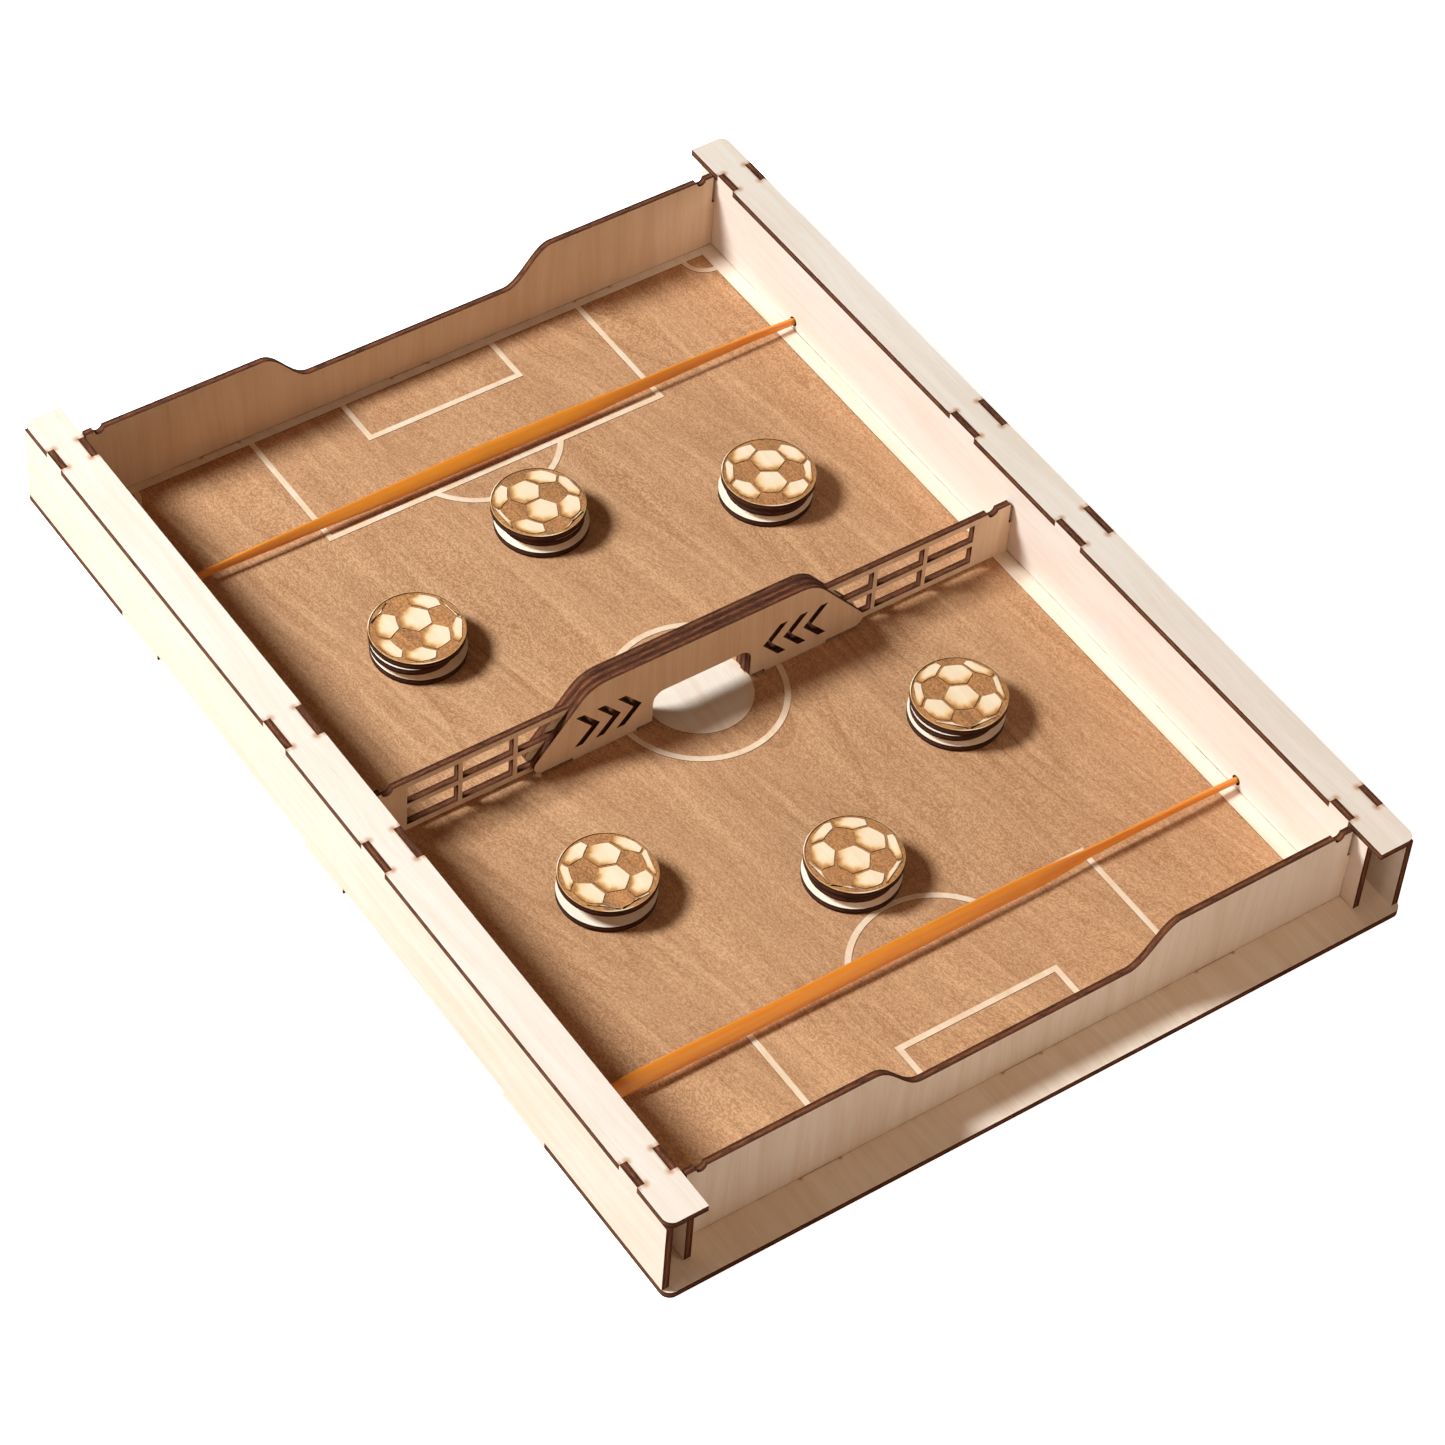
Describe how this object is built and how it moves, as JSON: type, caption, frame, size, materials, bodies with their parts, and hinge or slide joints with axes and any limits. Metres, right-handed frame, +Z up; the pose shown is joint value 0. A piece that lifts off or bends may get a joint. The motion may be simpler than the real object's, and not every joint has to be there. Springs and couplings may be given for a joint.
{
  "type": "tabletop football sling-puck game",
  "caption": "Shallow plywood tray with hollow side rails, a net fence with a gate across the middle, elastic launching bands and sliding pucks.",
  "frame": {"origin": "middle of the base board's underside", "axes": "+X across the board to the right rail, +Y along the board to the far end, +Z up"},
  "size_m": [0.33, 0.454, 0.0415],
  "materials": {
    "birch_ply": "bare sanded birch plywood with dark laser-cut edges",
    "disc_ply": "bare birch plywood with dark laser-cut edges",
    "ball_face_ply": null,
    "amber_rubber": "smooth translucent natural rubber"
  },
  "bodies": {
    "board": {"base_board": "birch_ply", "left_outer_wall": "birch_ply", "left_inner_wall": "birch_ply", "left_rail_cap": "birch_ply", "right_outer_wall": "birch_ply", "right_inner_wall": "birch_ply", "right_rail_cap": "birch_ply", "near_end_wall": "birch_ply", "far_end_wall": "birch_ply", "net_fence": "birch_ply", "near_gate_plate": "birch_ply", "far_gate_plate": "birch_ply"},
    "puck_1": {"puck_1_bottom_disc": "disc_ply", "puck_1_core_disc": "disc_ply", "puck_1_second_disc": "disc_ply", "puck_1_top_disc": "ball_face_ply"},
    "puck_2": {"puck_2_bottom_disc": "disc_ply", "puck_2_core_disc": "disc_ply", "puck_2_second_disc": "disc_ply", "puck_2_top_disc": "ball_face_ply"},
    "puck_3": {"puck_3_bottom_disc": "disc_ply", "puck_3_core_disc": "disc_ply", "puck_3_second_disc": "disc_ply", "puck_3_top_disc": "ball_face_ply"},
    "puck_4": {"puck_4_bottom_disc": "disc_ply", "puck_4_core_disc": "disc_ply", "puck_4_second_disc": "disc_ply", "puck_4_top_disc": "ball_face_ply"},
    "puck_5": {"puck_5_bottom_disc": "disc_ply", "puck_5_core_disc": "disc_ply", "puck_5_second_disc": "disc_ply", "puck_5_top_disc": "ball_face_ply"},
    "puck_6": {"puck_6_bottom_disc": "disc_ply", "puck_6_core_disc": "disc_ply", "puck_6_second_disc": "disc_ply", "puck_6_top_disc": "ball_face_ply"},
    "near_band": {"near_elastic_band": "amber_rubber"},
    "far_band": {"far_elastic_band": "amber_rubber"}
  },
  "joints": [
    {"name": "puck_1_slide", "type": "slide", "parent": "board", "child": "puck_1", "axis": [0, 1, 0], "range_m": [-0.173, 0.0175]},
    {"name": "puck_2_slide", "type": "slide", "parent": "board", "child": "puck_2", "axis": [0, 1, 0], "range_m": [-0.0498, 0.0507]},
    {"name": "puck_3_slide", "type": "slide", "parent": "board", "child": "puck_3", "axis": [0, 1, 0], "range_m": [-0.0502, 0.0503]},
    {"name": "puck_4_slide", "type": "slide", "parent": "board", "child": "puck_4", "axis": [0, 1, 0], "range_m": [-0.0626, 0.0379]},
    {"name": "puck_5_slide", "type": "slide", "parent": "board", "child": "puck_5", "axis": [0, 1, 0], "range_m": [-0.0587, 0.0418]},
    {"name": "puck_6_slide", "type": "slide", "parent": "board", "child": "puck_6", "axis": [0, 1, 0], "range_m": [-0.0183, 0.1722]},
    {"name": "near_band_pull", "type": "slide", "parent": "board", "child": "near_band", "axis": [0, 1, 0], "range_m": [-0.055, 0], "stiffness_N_per_m": 60, "deforming": ["near_elastic_band"]},
    {"name": "far_band_pull", "type": "slide", "parent": "board", "child": "far_band", "axis": [0, 1, 0], "range_m": [0, 0.055], "stiffness_N_per_m": 60, "deforming": ["far_elastic_band"]}
  ]
}
